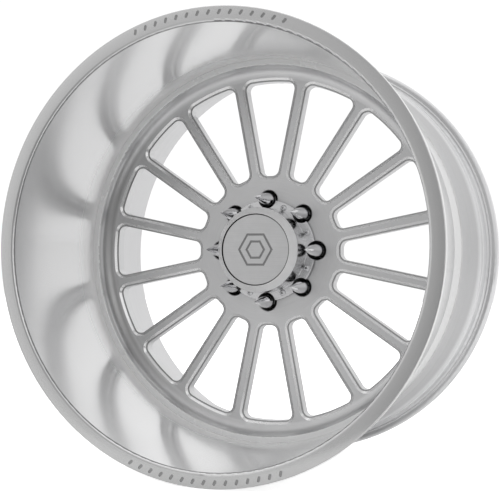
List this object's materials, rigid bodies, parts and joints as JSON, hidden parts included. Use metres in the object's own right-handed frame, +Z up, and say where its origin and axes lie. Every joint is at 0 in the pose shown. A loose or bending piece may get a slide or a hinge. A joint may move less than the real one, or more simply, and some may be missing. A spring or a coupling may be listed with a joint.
{
  "type": "deep-lip forged truck wheel",
  "caption": "Deep-lip forged wheel with thin straight spokes, scalloped centre cap, spiked lug nuts and clamp-in tyre valve.",
  "frame": {"origin": "on the axle line, half-way between the outer faces of the two flanges", "axes": "+Y runs along the axle from the outboard face towards the vehicle, +Z is up, +X is to the right as seen from outboard"},
  "size_m": [0.7, 0.442, 0.7],
  "materials": {
    "polished_lip": "soft polished, turned",
    "machined_barrel": "machined",
    "satin_disc": "satin machined",
    "weld": "as welded",
    "cap_chrome": "mirror",
    "badge": "fine brushed",
    "seal_rubber": "matt",
    "spring_steel": "oiled",
    "screw_steel": "bright",
    "lug_chrome": "mirror",
    "valve_metal": "satin",
    "brass": "turned",
    "valve_cap_metal": "satin"
  },
  "bodies": {
    "wheel": {"outer_lip": "polished_lip", "inner_barrel": "machined_barrel", "forged_center": "satin_disc", "rim_seam_weld": "weld", "center_rear_weld": "weld", "valve_stem": "valve_metal", "valve_grommet": "seal_rubber", "valve_washer": "valve_metal", "valve_nut": "valve_metal", "valve_core": "brass"},
    "center_cap": {"cap_housing": "cap_chrome", "cap_badge": "badge", "badge_o_ring": "seal_rubber", "badge_snap_ring": "spring_steel", "cap_gasket": "seal_rubber"},
    "cap_screws": {"cap_screws": "screw_steel"},
    "nut_1": {"lug_nut_1": "lug_chrome"},
    "spike_1": {"lug_spike_1": "lug_chrome"},
    "nut_2": {"lug_nut_2": "lug_chrome"},
    "spike_2": {"lug_spike_2": "lug_chrome"},
    "nut_3": {"lug_nut_3": "lug_chrome"},
    "spike_3": {"lug_spike_3": "lug_chrome"},
    "nut_4": {"lug_nut_4": "lug_chrome"},
    "spike_4": {"lug_spike_4": "lug_chrome"},
    "nut_5": {"lug_nut_5": "lug_chrome"},
    "spike_5": {"lug_spike_5": "lug_chrome"},
    "nut_6": {"lug_nut_6": "lug_chrome"},
    "spike_6": {"lug_spike_6": "lug_chrome"},
    "nut_7": {"lug_nut_7": "lug_chrome"},
    "spike_7": {"lug_spike_7": "lug_chrome"},
    "nut_8": {"lug_nut_8": "lug_chrome"},
    "spike_8": {"lug_spike_8": "lug_chrome"},
    "valve_pin": {"valve_pin": "brass", "valve_spring": "spring_steel"},
    "valve_cap": {"valve_cap": "valve_cap_metal", "valve_cap_seal": "seal_rubber"}
  },
  "joints": [
    {"name": "cap_lift_off", "type": "slide", "parent": "wheel", "child": "center_cap", "axis": [0, -1, 0], "range_m": [0, 0.09]},
    {"name": "cap_screws_out", "type": "slide", "parent": "center_cap", "child": "cap_screws", "axis": [0, -1, 0], "range_m": [0, 0.02]},
    {"name": "nut_1_travel", "type": "slide", "parent": "wheel", "child": "nut_1", "axis": [0, -1, 0], "range_m": [0, 0.05]},
    {"name": "spike_1_travel", "type": "slide", "parent": "nut_1", "child": "spike_1", "axis": [0, -1, 0], "range_m": [0, 0.013]},
    {"name": "nut_2_travel", "type": "slide", "parent": "wheel", "child": "nut_2", "axis": [0, -1, 0], "range_m": [0, 0.05]},
    {"name": "spike_2_travel", "type": "slide", "parent": "nut_2", "child": "spike_2", "axis": [0, -1, 0], "range_m": [0, 0.013]},
    {"name": "nut_3_travel", "type": "slide", "parent": "wheel", "child": "nut_3", "axis": [0, -1, 0], "range_m": [0, 0.05]},
    {"name": "spike_3_travel", "type": "slide", "parent": "nut_3", "child": "spike_3", "axis": [0, -1, 0], "range_m": [0, 0.013]},
    {"name": "nut_4_travel", "type": "slide", "parent": "wheel", "child": "nut_4", "axis": [0, -1, 0], "range_m": [0, 0.05]},
    {"name": "spike_4_travel", "type": "slide", "parent": "nut_4", "child": "spike_4", "axis": [0, -1, 0], "range_m": [0, 0.013]},
    {"name": "nut_5_travel", "type": "slide", "parent": "wheel", "child": "nut_5", "axis": [0, -1, 0], "range_m": [0, 0.05]},
    {"name": "spike_5_travel", "type": "slide", "parent": "nut_5", "child": "spike_5", "axis": [0, -1, 0], "range_m": [0, 0.013]},
    {"name": "nut_6_travel", "type": "slide", "parent": "wheel", "child": "nut_6", "axis": [0, -1, 0], "range_m": [0, 0.05]},
    {"name": "spike_6_travel", "type": "slide", "parent": "nut_6", "child": "spike_6", "axis": [0, -1, 0], "range_m": [0, 0.013]},
    {"name": "nut_7_travel", "type": "slide", "parent": "wheel", "child": "nut_7", "axis": [0, -1, 0], "range_m": [0, 0.05]},
    {"name": "spike_7_travel", "type": "slide", "parent": "nut_7", "child": "spike_7", "axis": [0, -1, 0], "range_m": [0, 0.013]},
    {"name": "nut_8_travel", "type": "slide", "parent": "wheel", "child": "nut_8", "axis": [0, -1, 0], "range_m": [0, 0.05]},
    {"name": "spike_8_travel", "type": "slide", "parent": "nut_8", "child": "spike_8", "axis": [0, -1, 0], "range_m": [0, 0.013]},
    {"name": "valve_pin_press", "type": "slide", "parent": "wheel", "child": "valve_pin", "axis": [0, 0, 1], "range_m": [0, 0.0012], "stiffness_N_per_m": 900, "springref_m": -0.001, "deforming": ["valve_spring"]},
    {"name": "valve_cap_off", "type": "slide", "parent": "wheel", "child": "valve_cap", "axis": [0, 0, -1], "range_m": [0, 0.014]}
  ]
}
